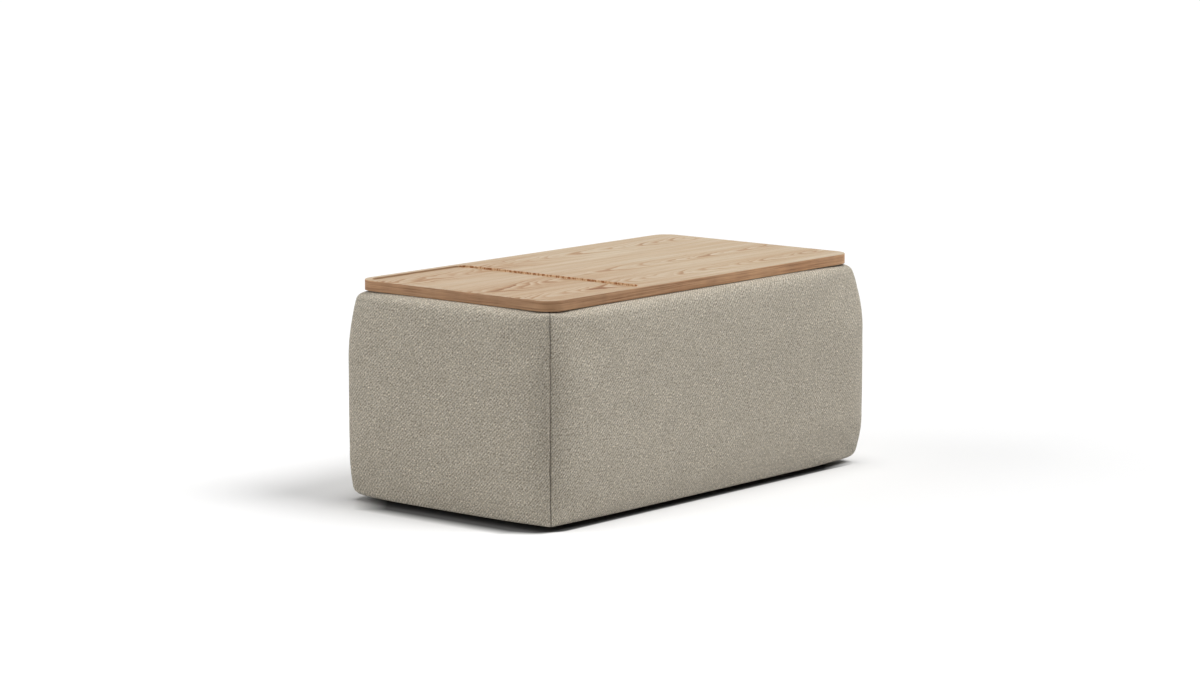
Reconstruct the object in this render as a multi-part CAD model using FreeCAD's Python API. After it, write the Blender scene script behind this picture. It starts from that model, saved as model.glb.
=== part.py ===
import FreeCAD, Part
import math
import os
from FreeCAD import Placement, Rotation, Vector

# Storage ottoman: an upholstered box under a hinged oak lid with a shallow tray at its left end.
# Millimetres. The origin is on the floor under the middle of the box, +X along its length,
# -Y to the front, +Z up. The hinges are along the rear, and the tray is at the -X end.

# Lid board
LID_LENGTH = 858.0
LID_WIDTH = 451.0
LID_THICKNESS = 19.0
LID_TOP_HEIGHT = 396.0
LID_CORNER_RADIUS = 34.0
LID_TOP_ROUND = 1.6
LID_BOTTOM_ROUND = 1.0

# Tray milled into the left end of the lid
TRAY_LENGTH = 249.0
TRAY_RIM = 13.0
TRAY_DEPTH = 4.0
TRAY_CORNER_RADIUS = 22.0
TRAY_FLOOR_ROUND = 1.2
TRAY_EDGE_ROUND = 0.6

# Battens and bumpers under the lid
BATTEN_WIDTH = 42.0
BATTEN_THICKNESS = 16.0
BATTEN_SPACING = 400.0
BATTEN_END_ROOM = 43.0
BATTEN_END_BEVEL = 10.0
BATTEN_SCREW_INSET = 30.0
BUMPER_RADIUS = 6.0
BUMPER_INSET = 54.0
BUMPER_CLEARANCE = 0.2

# Plywood carcass, set in from the lid's edges
LID_OVERHANG = 16.5
CARCASS_BOTTOM = 12.0
WALL_THICKNESS = 16.0
BOTTOM_THICKNESS = 12.0
CORNER_SCREW_INSET = 48.0
FLOOR_SCREW_INSET = 96.0

# Upholstery: the outer face of the cover stands off from the carcass by the seam's standoff at the
# corners and by the crown more at mid-side. Its top and bottom edges roll over in a tight arc, whose
# flat end is the crest, and ease into the upright face in a wide one.
SEAM_STANDOFF = 28.5
FRONT_CROWN = 10.5
END_CROWN = 9.5
FRONT_CROWN_POWER = 6
END_CROWN_POWER = 4
TOP_ROLL_RADIUS = 17.0
TOP_ROLL_SWELL = 6.0
TOP_CREST = 2.5
TOP_CREST_SHIFT = 7.0
TOP_EASE_DEPTH = 127.0
BOTTOM_ROLL_RADIUS = 12.0
BOTTOM_ROLL_SWELL = 1.0
BOTTOM_CREST = 6.8
BOTTOM_CREST_SHIFT = 9.5
BOTTOM_EASE_DEPTH = 110.0
COVER_THICKNESS = 1.5
COVER_INNER_HEM = 22.0
COVER_UNDER_HEM = 30.0
FOAM_CLEARANCE = 0.4
SECTION_STEPS = 6
MITRE_MARGIN = 12.0

# Lining boards inside, and the dust cover underneath
LINING_THICKNESS = 2.0
LINING_CLEARANCE = 0.2
DUST_COVER_THICKNESS = 0.8
DUST_COVER_INSET = 18.0

# Glides
GLIDE_RADIUS = 18.0
GLIDE_EDGE_ROUND = 2.0
GLIDE_INSET = 52.0
GLIDE_HEAD_RECESS = 2.5

# Butt hinges along the rear edge
HINGE_INSET = 129.0
HINGE_LENGTH = 70.0
KNUCKLE_COUNT = 5
KNUCKLE_RADIUS = 2.75
KNUCKLE_GAP = 0.3
LEAF_THICKNESS = 1.5
LEAF_EDGE_MARGIN = 1.5
LEAF_CLEARANCE = 0.2
HINGE_EDGE_GAP = 0.3
HINGE_PIN_RADIUS = 1.4
HINGE_PIN_HEAD_RADIUS = 2.2
HINGE_PIN_HEAD_LENGTH = 1.2
HINGE_SCREW_INSET = 11.0
RUNNING_CLEARANCE = 0.05

# Lid stays: an arm from the lid whose slider runs in a straight rail on each end panel
STAY_PIVOT_SLOPE = 3.65
STAY_CLOSED_ANGLE = 6.0
STAY_FRONT_ROOM = 18.0
STAY_REAR_ROOM = 15.0
STAY_ARM_WIDTH = 14.0
STAY_ARM_THICKNESS = 3.0
STAY_SIDE_GAP = 0.5
STAY_PIN_RADIUS = 3.0
STAY_PIN_HEAD_RADIUS = 5.0
STAY_PIN_HEAD_LENGTH = 1.6
SLIDER_HEAD_RADIUS = 4.8
SLIDER_HEAD_LENGTH = 5.6
SLIDER_NECK_RADIUS = 2.75
SLIDER_RIVET_RADIUS = 4.5
SLIDER_RIVET_LENGTH = 1.8
SLIDER_CLEARANCE = 0.2
RAIL_WEB = 2.0
RAIL_FLANGE = 2.0
RAIL_END_WALL = 4.0
RAIL_SCREW_INSET = 40.0
BRACKET_THICKNESS = 2.5
BRACKET_LENGTH = 44.0
BRACKET_FLANGE = 26.0
BRACKET_SCREW_INSET = 9.0

# Countersunk screws in three gauges, and how far each kind bites into what it holds to
LARGE_SCREW_RADIUS = 2.2
LARGE_SCREW_HEAD_RADIUS = 4.5
MEDIUM_SCREW_RADIUS = 1.8
MEDIUM_SCREW_HEAD_RADIUS = 3.6
SMALL_SCREW_RADIUS = 1.5
SMALL_SCREW_HEAD_RADIUS = 2.9
PANEL_EDGE_BITE = 29.0
PANEL_TOP_BITE = 13.5
PANEL_FACE_BITE = 10.0
FLOOR_BITE = 8.5
LID_BITE = 9.5
SCREW_CLEARANCE = 0.1

# Levels and faces that follow from the sizes above
LID_UNDERSIDE = LID_TOP_HEIGHT - LID_THICKNESS
HINGE_Y = LID_WIDTH / 2 + HINGE_EDGE_GAP + KNUCKLE_RADIUS
HINGE_Z = LID_UNDERSIDE + LEAF_THICKNESS - KNUCKLE_RADIUS
WALL_TOP = HINGE_Z - KNUCKLE_RADIUS
COVER_TOP = WALL_TOP + COVER_THICKNESS
COVER_BOTTOM = CARCASS_BOTTOM - COVER_THICKNESS
DUST_COVER_BOTTOM = COVER_BOTTOM - DUST_COVER_THICKNESS
FLOOR_TOP = CARCASS_BOTTOM + BOTTOM_THICKNESS
HALF_LENGTH = LID_LENGTH / 2 - LID_OVERHANG
HALF_WIDTH = LID_WIDTH / 2 - LID_OVERHANG
INNER_HALF_LENGTH = HALF_LENGTH - WALL_THICKNESS
INNER_HALF_WIDTH = HALF_WIDTH - WALL_THICKNESS
WALL_MID_X = HALF_LENGTH - WALL_THICKNESS / 2
WALL_MID_Y = HALF_WIDTH - WALL_THICKNESS / 2
LINING_FACE_X = INNER_HALF_LENGTH - LINING_THICKNESS
LINING_FACE_Y = INNER_HALF_WIDTH - LINING_THICKNESS
LINING_TOP = WALL_TOP - COVER_INNER_HEM - LINING_CLEARANCE
LEAF_EDGE_Y = INNER_HALF_WIDTH + LEAF_EDGE_MARGIN
HINGE_REACH = LID_LENGTH / 2 - HINGE_INSET
HINGE_CENTRES = {"left": -HINGE_REACH, "middle": 0.0, "right": HINGE_REACH}
SIDE_SIGNS = {"left": -1, "right": 1}
LARGE_SCREW = (LARGE_SCREW_HEAD_RADIUS, LARGE_SCREW_RADIUS)
MEDIUM_SCREW = (MEDIUM_SCREW_HEAD_RADIUS, MEDIUM_SCREW_RADIUS)
SMALL_SCREW = (SMALL_SCREW_HEAD_RADIUS, SMALL_SCREW_RADIUS)

# The stay works as an isosceles triangle: hinge axis to arm pivot and arm pivot to slider are equal,
# so the slider stays on a straight line through the hinge axis while the lid turns. The lid is open,
# at about 75 degrees, when the slider reaches the rail's rear end.
RAIL_SLOPE = math.radians(STAY_PIVOT_SLOPE + STAY_CLOSED_ANGLE)
GROOVE_HALF = SLIDER_HEAD_RADIUS + SLIDER_CLEARANCE
RAIL_HALF_HEIGHT = GROOVE_HALF + RAIL_FLANGE
RAIL_DEPTH = SLIDER_HEAD_LENGTH + 2 * SLIDER_CLEARANCE + 2 * RAIL_WEB
RAIL_NEAR = (HINGE_Y - LINING_FACE_Y + STAY_REAR_ROOM) / math.cos(RAIL_SLOPE)
RAIL_FAR = (HINGE_Y + LINING_FACE_Y - STAY_FRONT_ROOM) / math.cos(RAIL_SLOPE)
SLIDER_NEAR = RAIL_NEAR + RAIL_END_WALL + GROOVE_HALF
SLIDER_FAR = RAIL_FAR - RAIL_END_WALL - GROOVE_HALF
STAY_ARM_LENGTH = SLIDER_FAR / (2 * math.cos(math.radians(STAY_CLOSED_ANGLE)))
PIVOT_Y = HINGE_Y - STAY_ARM_LENGTH * math.cos(math.radians(STAY_PIVOT_SLOPE))
PIVOT_Z = HINGE_Z - STAY_ARM_LENGTH * math.sin(math.radians(STAY_PIVOT_SLOPE))

# Layers of a stay at the right end, from the lining inwards
RAIL_FACE = LINING_FACE_X - RAIL_DEPTH
RAIL_LIP = RAIL_FACE + RAIL_WEB
RAIL_SEAT = LINING_FACE_X - RAIL_WEB
ARM_OUTER_FACE = RAIL_FACE - STAY_SIDE_GAP
ARM_INNER_FACE = ARM_OUTER_FACE - STAY_ARM_THICKNESS
EAR_OUTER_FACE = ARM_INNER_FACE - STAY_SIDE_GAP
EAR_INNER_FACE = EAR_OUTER_FACE - BRACKET_THICKNESS

UP = Vector(0, 0, 1)
DOWN = Vector(0, 0, -1)
ORIGIN = Vector(0, 0, 0)
TOLERANCE = 1e-4
nodes = {}


def box(x0, x1, y0, y1, z0, z1):
    """A box between two corners."""
    return Part.makeBox(x1 - x0, y1 - y0, z1 - z0, Vector(x0, y0, z0))


def rod(radius, start, end):
    """A cylinder from one point to another."""
    axis = end - start
    return Part.makeCylinder(radius, axis.Length, start, axis)


def slab(corners, thickness):
    """A flat outline through some corners, thickened along a vector."""
    return Part.Face(Part.makePolygon(corners + corners[:1])).extrude(thickness)


def spun(profile):
    """The solid made by turning a closed (radius, z) outline about the Z axis."""
    points = [Vector(radius, 0, z) for radius, z in profile]
    face = Part.Face(Part.makePolygon(points + points[:1]))
    return face.revolve(ORIGIN, UP, 360)


def aimed(shape, position, direction):
    """A copy of a shape that points down, moved to a position and turned to a direction."""
    placed = shape.copy()
    placed.Placement = Placement(position, Rotation(DOWN, direction))
    return placed


def at_side(shape, side):
    """A shape drawn at the right end, put at the left or right end."""
    return shape.mirror(ORIGIN, Vector(1, 0, 0)) if side == "left" else shape


def edges_where(shape, test):
    """The edges of a shape whose bounding box passes a test."""
    return [edge for edge in shape.Edges if test(edge.BoundBox)]


def flat_at(z):
    """A test for edges that lie in the level plane z."""
    return lambda bound: abs(bound.ZMin - z) < TOLERANCE and abs(bound.ZMax - z) < TOLERANCE


def upright(bound):
    """A test for vertical edges."""
    return bound.XLength < TOLERANCE and bound.YLength < TOLERANCE


def screw(gauge, length):
    """A countersunk screw, its head's flat top at the origin and its point down."""
    head, shank = gauge
    neck = shank - head
    return spun([(0, 0), (head, 0), (shank, neck), (shank, 2 * shank - length), (0, -length)])


def screw_hole(gauge, length):
    """The hole that a countersunk screw needs, a little larger all round and open above the head."""
    head, shank = (radius + SCREW_CLEARANCE for radius in gauge)
    mouth = head - shank
    tip = -length - SCREW_CLEARANCE
    return spun([(0, mouth), (head, mouth), (head, 0), (shank, -mouth), (shank, tip), (0, tip)])


def screws(gauge, length, places):
    """A group of equal screws and the holes they need, from (position, direction) pairs."""
    solids = [aimed(screw(gauge, length), *place) for place in places]
    holes = [aimed(screw_hole(gauge, length), *place) for place in places]
    return Part.makeCompound(solids), holes


def drill(names, holes):
    """Cut holes out of the named nodes."""
    for name in names:
        nodes[name] = nodes[name].cut(holes)


def spaced(reach, count):
    """Evenly spaced values from minus the reach to the reach."""
    return [reach * (2 * index / (count - 1) - 1) for index in range(count)]


def inside_slab(z0, z1):
    """A slab that fills the box between its four panels."""
    return box(-INNER_HALF_LENGTH, INNER_HALF_LENGTH, -INNER_HALF_WIDTH, INNER_HALF_WIDTH, z0, z1)


# Carcass panels: the long ones cover the ends of the short ones, and the bottom sits between all four
def make_carcass():
    rise = (CARCASS_BOTTOM, WALL_TOP)
    nodes["front_panel"] = box(-HALF_LENGTH, HALF_LENGTH, -HALF_WIDTH, -INNER_HALF_WIDTH, *rise)
    nodes["rear_panel"] = box(-HALF_LENGTH, HALF_LENGTH, INNER_HALF_WIDTH, HALF_WIDTH, *rise)
    end_panel = box(INNER_HALF_LENGTH, HALF_LENGTH, -INNER_HALF_WIDTH, INNER_HALF_WIDTH, *rise)
    for side in SIDE_SIGNS:
        nodes[side + "_end_panel"] = at_side(end_panel, side)
    nodes["bottom_panel"] = inside_slab(CARCASS_BOTTOM, FLOOR_TOP)
    wall_middle = (CARCASS_BOTTOM + WALL_TOP) / 2
    corner_reach = (WALL_TOP - CARCASS_BOTTOM) / 2 - CORNER_SCREW_INSET
    floor_middle = (CARCASS_BOTTOM + FLOOR_TOP) / 2
    places = []
    for facing in (-1, 1):
        inward = Vector(0, -facing, 0)
        for x in (-WALL_MID_X, WALL_MID_X):
            for rise in spaced(corner_reach, 3):
                places.append((Vector(x, facing * HALF_WIDTH, wall_middle + rise), inward))
        for x in spaced(INNER_HALF_LENGTH - FLOOR_SCREW_INSET, 4):
            places.append((Vector(x, facing * HALF_WIDTH, floor_middle), inward))
        for y in spaced(INNER_HALF_WIDTH - FLOOR_SCREW_INSET, 2):
            places.append((Vector(facing * HALF_LENGTH, y, floor_middle), Vector(-facing, 0, 0)))
    nodes["carcass_screws"], holes = screws(LARGE_SCREW, WALL_THICKNESS + PANEL_EDGE_BITE, places)
    drill(["front_panel", "rear_panel", "left_end_panel", "right_end_panel", "bottom_panel"], holes)


# Lining boards cover the inside below the cover's hem
def make_lining():
    rise = (FLOOR_TOP + LINING_THICKNESS, LINING_TOP)
    length = (-INNER_HALF_LENGTH, INNER_HALF_LENGTH)
    nodes["floor_lining"] = inside_slab(FLOOR_TOP, FLOOR_TOP + LINING_THICKNESS)
    nodes["front_lining"] = box(*length, -INNER_HALF_WIDTH, -LINING_FACE_Y, *rise)
    nodes["rear_lining"] = box(*length, LINING_FACE_Y, INNER_HALF_WIDTH, *rise)
    end_lining = box(LINING_FACE_X, INNER_HALF_LENGTH, -LINING_FACE_Y, LINING_FACE_Y, *rise)
    for side in SIDE_SIGNS:
        nodes[side + "_lining"] = at_side(end_lining, side)


# Upholstery: each side is drawn as the front one, with standoff measured outwards from its panel
def arc_point(centre, radius, angle):
    """A point on a profile arc, as (standoff, height)."""
    return (centre[0] + radius * math.cos(angle), centre[1] + radius * math.sin(angle))


def rolled_edge(standoff, crest, roll, edge_height, ease_height):
    """The tight and the wide arc of a rolled edge: centre, radius, and the angle at each end."""
    upward = 1 if edge_height > ease_height else -1
    depth = abs(edge_height - ease_height) - roll
    lean = 2 * math.atan2(standoff - crest - roll, depth)
    reach = depth / math.sin(lean)
    ease_radius = reach + roll
    ease_centre = (standoff - ease_radius, ease_height)
    roll_centre = arc_point(ease_centre, reach, upward * lean)
    tight = (roll_centre, roll, upward * math.pi / 2, upward * lean)
    wide = (ease_centre, ease_radius, upward * lean, 0.0)
    return tight, wide


def profile_arcs(crown):
    """The arcs of a side's vertical profile from the top down, from its crown there and the share of it."""
    swell, share = crown
    standoff = SEAM_STANDOFF + swell * share
    top_tight, top_wide = rolled_edge(
        standoff, TOP_CREST + TOP_CREST_SHIFT * share, TOP_ROLL_RADIUS + TOP_ROLL_SWELL * share,
        COVER_TOP, COVER_TOP - TOP_EASE_DEPTH
    )
    low_tight, low_wide = rolled_edge(
        standoff, BOTTOM_CREST + BOTTOM_CREST_SHIFT * share, BOTTOM_ROLL_RADIUS + BOTTOM_ROLL_SWELL * share,
        COVER_BOTTOM, COVER_BOTTOM + BOTTOM_EASE_DEPTH
    )
    downward = [(centre, radius, end, start) for centre, radius, start, end in (low_wide, low_tight)]
    return [top_tight, top_wide] + downward


def face_spans(arcs, inset):
    """The profile from the top edge to the bottom edge, set in from the cover's outer face."""
    spans = []
    for centre, radius, start, end in arcs:
        angles = (start, (start + end) / 2, end)
        spans.append([arc_point(centre, radius - inset, angle) for angle in angles])
    upright_face = [spans[1][-1], spans[2][0]]
    return spans[:2] + [upright_face] + spans[2:]


def joined(points):
    """Straight spans through a row of points."""
    return [list(pair) for pair in zip(points, points[1:])]


def foam_spans(arcs):
    """A foam pad's section: flat against the panel, crowned outside, just inside the cover."""
    face = face_spans(arcs, COVER_THICKNESS + FOAM_CLEARANCE)
    top = face[0][0]
    bottom = face[-1][-1]
    return face + joined([bottom, (0.0, bottom[1]), (0.0, top[1]), top])


def cover_spans(arcs):
    """A cover's section: over the foam, over the panel's top into the box, and under its bottom edge."""
    outer = face_spans(arcs, 0.0)
    inner = [span[::-1] for span in face_spans(arcs, COVER_THICKNESS)[::-1]]
    hem_low = WALL_TOP - COVER_INNER_HEM
    under = joined([
        outer[-1][-1],
        (-COVER_UNDER_HEM, COVER_BOTTOM),
        (-COVER_UNDER_HEM, CARCASS_BOTTOM),
        inner[0][0],
    ])
    inside = joined([
        inner[-1][-1],
        (-WALL_THICKNESS, WALL_TOP),
        (-WALL_THICKNESS, hem_low),
        (-WALL_THICKNESS - COVER_THICKNESS, hem_low),
        (-WALL_THICKNESS - COVER_THICKNESS, COVER_TOP),
        outer[0][0],
    ])
    return outer + under + inner + inside


def outline_wire(spans, station, panel_face):
    """A closed section from spans of 2 points for a line or 3 for an arc, in the plane x = station."""
    edges = []
    for span in spans:
        points = [Vector(station, -(panel_face + standoff), height) for standoff, height in span]
        curve = Part.LineSegment(*points) if len(points) == 2 else Part.Arc(*points)
        edges.append(curve.toShape())
    return Part.Wire(edges)


def mitre_wedge(half_span, panel_face):
    """The space that belongs to one side, between the two corner seams."""
    inset = max(COVER_UNDER_HEM, WALL_THICKNESS + COVER_THICKNESS) + MITRE_MARGIN
    reach = SEAM_STANDOFF + max(FRONT_CROWN, END_CROWN) + MITRE_MARGIN
    corners = [
        Vector(-(half_span - inset), -(panel_face - inset), 0),
        Vector(half_span - inset, -(panel_face - inset), 0),
        Vector(half_span + reach, -(panel_face + reach), 0),
        Vector(-(half_span + reach), -(panel_face + reach), 0),
    ]
    return slab(corners, UP * LID_TOP_HEIGHT)


def upholstered_side(spans_of, half_span, panel_face, crown, power, turn):
    """Loft one side's foam or cover through sections along it, mitre it, and turn it to its place."""
    seam = half_span + SEAM_STANDOFF
    sections = []
    for step in range(-SECTION_STEPS, SECTION_STEPS + 1):
        station = (seam + COVER_THICKNESS) * math.sin(math.pi / 2 * step / SECTION_STEPS)
        share = 1 - abs(station / seam) ** power
        spans = spans_of(profile_arcs((crown, share)))
        sections.append(outline_wire(spans, station, panel_face))
    side = Part.makeLoft(sections, True, False).common(mitre_wedge(half_span, panel_face))
    return side.rotate(ORIGIN, UP, turn).Solids[0]


def make_upholstery():
    long_side = (HALF_LENGTH, HALF_WIDTH, FRONT_CROWN, FRONT_CROWN_POWER)
    short_side = (HALF_WIDTH, HALF_LENGTH, END_CROWN, END_CROWN_POWER)
    turned_sides = {
        "front": (long_side, 0),
        "right": (short_side, 90),
        "rear": (long_side, 180),
        "left": (short_side, 270),
    }
    for name, (measures, turn) in turned_sides.items():
        nodes[name + "_foam"] = upholstered_side(foam_spans, *measures, turn)
        nodes[name + "_cover"] = upholstered_side(cover_spans, *measures, turn)
    # The rear cover is cut away where each hinge leaf lies on the panel's top edge
    notch_half = HINGE_LENGTH / 2 + HINGE_PIN_HEAD_LENGTH + LEAF_CLEARANCE
    notch_inner = INNER_HALF_WIDTH - 2 * COVER_THICKNESS
    for centre in HINGE_CENTRES.values():
        reach = (centre - notch_half, centre + notch_half)
        notch = box(*reach, notch_inner, HINGE_Y, WALL_TOP, LID_UNDERSIDE)
        nodes["rear_cover"] = nodes["rear_cover"].cut(notch)


# Dust cover and glides under the box
def make_base():
    dust_x = HALF_LENGTH - DUST_COVER_INSET
    dust_y = HALF_WIDTH - DUST_COVER_INSET
    nodes["dust_cover"] = box(-dust_x, dust_x, -dust_y, dust_y, DUST_COVER_BOTTOM, COVER_BOTTOM)
    glide = spun([
        (0, 0),
        (GLIDE_RADIUS - GLIDE_EDGE_ROUND, 0),
        (GLIDE_RADIUS, GLIDE_EDGE_ROUND),
        (GLIDE_RADIUS, DUST_COVER_BOTTOM),
        (0, DUST_COVER_BOTTOM),
    ])
    glide_x = HALF_LENGTH - GLIDE_INSET
    glide_y = HALF_WIDTH - GLIDE_INSET
    glide_names = []
    places = []
    for depth_name, depth_sign in (("front", -1), ("rear", 1)):
        for side, side_sign in SIDE_SIGNS.items():
            centre = Vector(side_sign * glide_x, depth_sign * glide_y, 0)
            glide_names.append("glide_" + depth_name + "_" + side)
            nodes[glide_names[-1]] = glide.translated(centre)
            places.append((centre + UP * GLIDE_HEAD_RECESS, UP))
    length = CARCASS_BOTTOM - GLIDE_HEAD_RECESS + FLOOR_BITE
    nodes["glide_screws"], holes = screws(MEDIUM_SCREW, length, places)
    recess_radius = MEDIUM_SCREW_HEAD_RADIUS + SCREW_CLEARANCE
    recesses = [rod(recess_radius, position - UP * GLIDE_HEAD_RECESS, position) for position, _ in places]
    drill(glide_names, recesses)
    drill(glide_names + ["dust_cover", "bottom_panel"], holes)


# The lid: one board with the tray milled into it, and what is fixed under it
def make_lid():
    half_length = LID_LENGTH / 2
    half_width = LID_WIDTH / 2
    board = box(-half_length, half_length, -half_width, half_width, LID_UNDERSIDE, LID_TOP_HEIGHT)
    board = board.makeFillet(LID_CORNER_RADIUS, edges_where(board, upright))
    board = board.makeFillet(LID_TOP_ROUND, edges_where(board, flat_at(LID_TOP_HEIGHT)))
    board = board.makeFillet(LID_BOTTOM_ROUND, edges_where(board, flat_at(LID_UNDERSIDE)))
    tray_floor = LID_TOP_HEIGHT - TRAY_DEPTH
    tray_start = TRAY_RIM - half_length
    tray_end = tray_start + TRAY_LENGTH
    tray_half_width = half_width - TRAY_RIM
    tray_top = LID_TOP_HEIGHT + TRAY_DEPTH
    tray = box(tray_start, tray_end, -tray_half_width, tray_half_width, tray_floor, tray_top)
    tray = tray.makeFillet(TRAY_CORNER_RADIUS, edges_where(tray, upright))
    tray = tray.makeFillet(TRAY_FLOOR_ROUND, edges_where(tray, flat_at(tray_floor)))
    board = board.cut(tray)
    near_limit = tray_start - TRAY_RIM / 2
    far_limit = tray_end + TRAY_RIM / 2
    top_edges = edges_where(board, flat_at(LID_TOP_HEIGHT))
    tray_edges = [
        edge for edge in top_edges if edge.BoundBox.XMin > near_limit and edge.BoundBox.XMax < far_limit
    ]
    nodes["lid_board"] = board.makeFillet(TRAY_EDGE_ROUND, tray_edges)


def make_battens():
    """Two cross battens that keep the board flat."""
    low = LID_UNDERSIDE - BATTEN_THICKNESS
    half_length = INNER_HALF_WIDTH - BATTEN_END_ROOM
    half_width = BATTEN_WIDTH / 2
    places = []
    for side, sign in SIDE_SIGNS.items():
        middle = sign * BATTEN_SPACING / 2
        across = (middle - half_width, middle + half_width)
        batten = box(*across, -half_length, half_length, low, LID_UNDERSIDE)
        low_edges = edges_where(batten, flat_at(low))
        end_edges = [edge for edge in low_edges if edge.BoundBox.YLength < TOLERANCE]
        nodes["lid_batten_" + side] = batten.makeChamfer(BATTEN_END_BEVEL, end_edges)
        places += [(Vector(middle, y, low), UP) for y in spaced(half_length - BATTEN_SCREW_INSET, 3)]
    nodes["batten_screws"], holes = screws(MEDIUM_SCREW, BATTEN_THICKNESS + LID_BITE, places)
    drill(["lid_board", "lid_batten_left", "lid_batten_right"], holes)


def make_bumpers():
    """Soft pads that rest on the covered top edges of the front and end panels."""
    places = [Vector(x, -WALL_MID_Y, LID_UNDERSIDE) for x in spaced(WALL_MID_X - BUMPER_INSET, 3)]
    places += [Vector(x, 0, LID_UNDERSIDE) for x in (-WALL_MID_X, WALL_MID_X)]
    drop = UP * (LID_UNDERSIDE - COVER_TOP - BUMPER_CLEARANCE)
    nodes["lid_bumpers"] = Part.makeCompound([rod(BUMPER_RADIUS, place - drop, place) for place in places])


# Butt hinges: two leaves with interlocking knuckles round one pin
def on_hinge(x):
    """A point on the hinge axis."""
    return Vector(x, HINGE_Y, HINGE_Z)


def hinge_leaf(centre, plate_low, own_knuckles):
    """One leaf: its plate, its own knuckles, and room for the other leaf's knuckles."""
    pitch = HINGE_LENGTH / KNUCKLE_COUNT
    half_gap = KNUCKLE_GAP / 2
    start = centre - HINGE_LENGTH / 2
    end = centre + HINGE_LENGTH / 2
    leaf = box(start, end, LEAF_EDGE_Y, HINGE_Y, plate_low, plate_low + LEAF_THICKNESS)
    own = []
    other = []
    for index in range(KNUCKLE_COUNT):
        near = start + index * pitch
        far = near + pitch
        if index in own_knuckles:
            own.append(rod(KNUCKLE_RADIUS, on_hinge(near + half_gap), on_hinge(far - half_gap)))
        else:
            room = KNUCKLE_RADIUS + KNUCKLE_GAP
            other.append(rod(room, on_hinge(near - half_gap), on_hinge(far + half_gap)))
    bore = rod(HINGE_PIN_RADIUS + RUNNING_CLEARANCE, on_hinge(start - pitch), on_hinge(end + pitch))
    return leaf.fuse(own).cut(other + [bore]).removeSplitter()


def hinge_pin(centre):
    """A headed pin through all the knuckles."""
    start = centre - HINGE_LENGTH / 2
    end = centre + HINGE_LENGTH / 2
    near_head = rod(HINGE_PIN_HEAD_RADIUS, on_hinge(start - HINGE_PIN_HEAD_LENGTH), on_hinge(start))
    far_head = rod(HINGE_PIN_HEAD_RADIUS, on_hinge(end), on_hinge(end + HINGE_PIN_HEAD_LENGTH))
    pin = rod(HINGE_PIN_RADIUS, on_hinge(start), on_hinge(end))
    return pin.fuse([near_head, far_head]).removeSplitter()


def make_hinges():
    carcass_places = []
    lid_places = []
    mortises = []
    outer_knuckles = range(0, KNUCKLE_COUNT, 2)
    inner_knuckles = range(1, KNUCKLE_COUNT, 2)
    mortise_half = HINGE_LENGTH / 2 + LEAF_CLEARANCE
    mortise_rise = (LID_UNDERSIDE - LEAF_THICKNESS, LID_UNDERSIDE + LEAF_THICKNESS)
    for side, centre in HINGE_CENTRES.items():
        prefix = "hinge_" + side
        nodes[prefix + "_fixed_leaf"] = hinge_leaf(centre, WALL_TOP, outer_knuckles)
        nodes[prefix + "_lid_leaf"] = hinge_leaf(centre, LID_UNDERSIDE, inner_knuckles)
        nodes[prefix + "_pin"] = hinge_pin(centre)
        mortise_reach = (centre - mortise_half, centre + mortise_half)
        mortises.append(box(*mortise_reach, LEAF_EDGE_Y - LEAF_CLEARANCE, HINGE_Y, *mortise_rise))
        for x in spaced(HINGE_LENGTH / 2 - HINGE_SCREW_INSET, 3):
            carcass_places.append((Vector(centre + x, WALL_MID_Y, WALL_TOP + LEAF_THICKNESS), DOWN))
            lid_places.append((Vector(centre + x, WALL_MID_Y, LID_UNDERSIDE), UP))
    nodes["lid_board"] = nodes["lid_board"].cut(mortises)
    fixed_leaves = ["hinge_" + side + "_fixed_leaf" for side in HINGE_CENTRES]
    lid_leaves = ["hinge_" + side + "_lid_leaf" for side in HINGE_CENTRES]
    carcass_length = LEAF_THICKNESS + PANEL_TOP_BITE
    nodes["hinge_carcass_screws"], holes = screws(SMALL_SCREW, carcass_length, carcass_places)
    drill(fixed_leaves + ["rear_panel"], holes)
    nodes["hinge_lid_screws"], holes = screws(SMALL_SCREW, LEAF_THICKNESS + LID_BITE, lid_places)
    drill(lid_leaves + ["lid_board"], holes)


# Lid stays, drawn at the right end
def on_rail(x, distance):
    """A point on the rail's line, at a distance from the hinge axis."""
    return Vector(x, HINGE_Y - distance * math.cos(RAIL_SLOPE), HINGE_Z - distance * math.sin(RAIL_SLOPE))


def rail_bar(x0, x1, near, far, half_height):
    """A square bar along the rail's line, between two distances from the hinge axis."""
    along = on_rail(x0, far) - on_rail(x0, near)
    rise = along.cross(Vector(1, 0, 0)).normalize() * half_height
    near_end = on_rail(x0, near)
    far_end = on_rail(x0, far)
    return slab([near_end - rise, far_end - rise, far_end + rise, near_end + rise], Vector(x1 - x0, 0, 0))


def rail_groove(x0, x1, half_height):
    """A round-ended groove as long as the slider's travel."""
    bar = rail_bar(x0, x1, SLIDER_NEAR, SLIDER_FAR, half_height)
    ends = [rod(half_height, on_rail(x0, end), on_rail(x1, end)) for end in (SLIDER_NEAR, SLIDER_FAR)]
    return bar.fuse(ends)


def stay_rail():
    """A rail with closed ends, a groove for the slider's head and a slot for its neck."""
    rail = rail_bar(RAIL_FACE, LINING_FACE_X, RAIL_NEAR, RAIL_FAR, RAIL_HALF_HEIGHT)
    groove = rail_groove(RAIL_LIP, RAIL_SEAT, GROOVE_HALF)
    slot = rail_groove(RAIL_FACE - RAIL_WEB, RAIL_LIP + RAIL_WEB, SLIDER_NECK_RADIUS + SLIDER_CLEARANCE)
    return rail.cut([groove, slot]).removeSplitter()


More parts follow.
